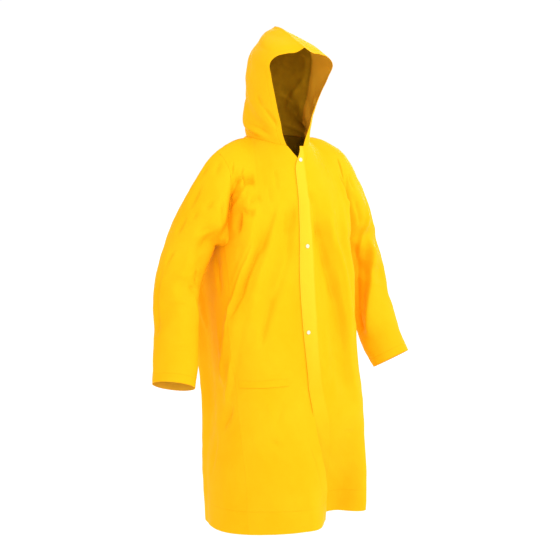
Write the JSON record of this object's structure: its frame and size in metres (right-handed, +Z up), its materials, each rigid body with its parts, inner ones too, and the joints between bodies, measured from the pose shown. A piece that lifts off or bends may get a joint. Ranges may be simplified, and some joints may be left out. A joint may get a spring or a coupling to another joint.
{
  "type": "hooded raincoat",
  "caption": "Long hooded raincoat of smooth yellow PVC in its worn, hollow shape, with a press-stud front lap, set-in sleeves, a hood and a welt pocket.",
  "frame": {"origin": "middle of the neck base, where the wearer's shoulders hold the coat up", "axes": "+Z up, front facing -Y, wearer's left at +X"},
  "size_m": [0.929, 0.4076, 1.5149],
  "materials": {
    "front_right": "satin, smooth PVC sheet",
    "front_left": "satin, smooth PVC sheet",
    "back": "satin, smooth PVC sheet",
    "sleeve_right": "satin, smooth PVC sheet",
    "sleeve_left": "satin, smooth PVC sheet",
    "hood_right": "satin, smooth PVC sheet",
    "hood_left": "satin, smooth PVC sheet",
    "placket": "satin, smooth PVC sheet",
    "pocket_right": "satin, smooth PVC sheet",
    "snap_1": "smooth",
    "snap_2": "smooth",
    "snap_3": "smooth"
  },
  "bodies": {
    "root": {"front_right": "front_right", "front_left": "front_left", "back": "back", "sleeve_right": "sleeve_right", "sleeve_left": "sleeve_left", "hood_right": "hood_right", "hood_left": "hood_left", "placket": "placket", "pocket_right": "pocket_right", "snap_1": "snap_1", "snap_2": "snap_2", "snap_3": "snap_3"}
  },
  "joints": []
}
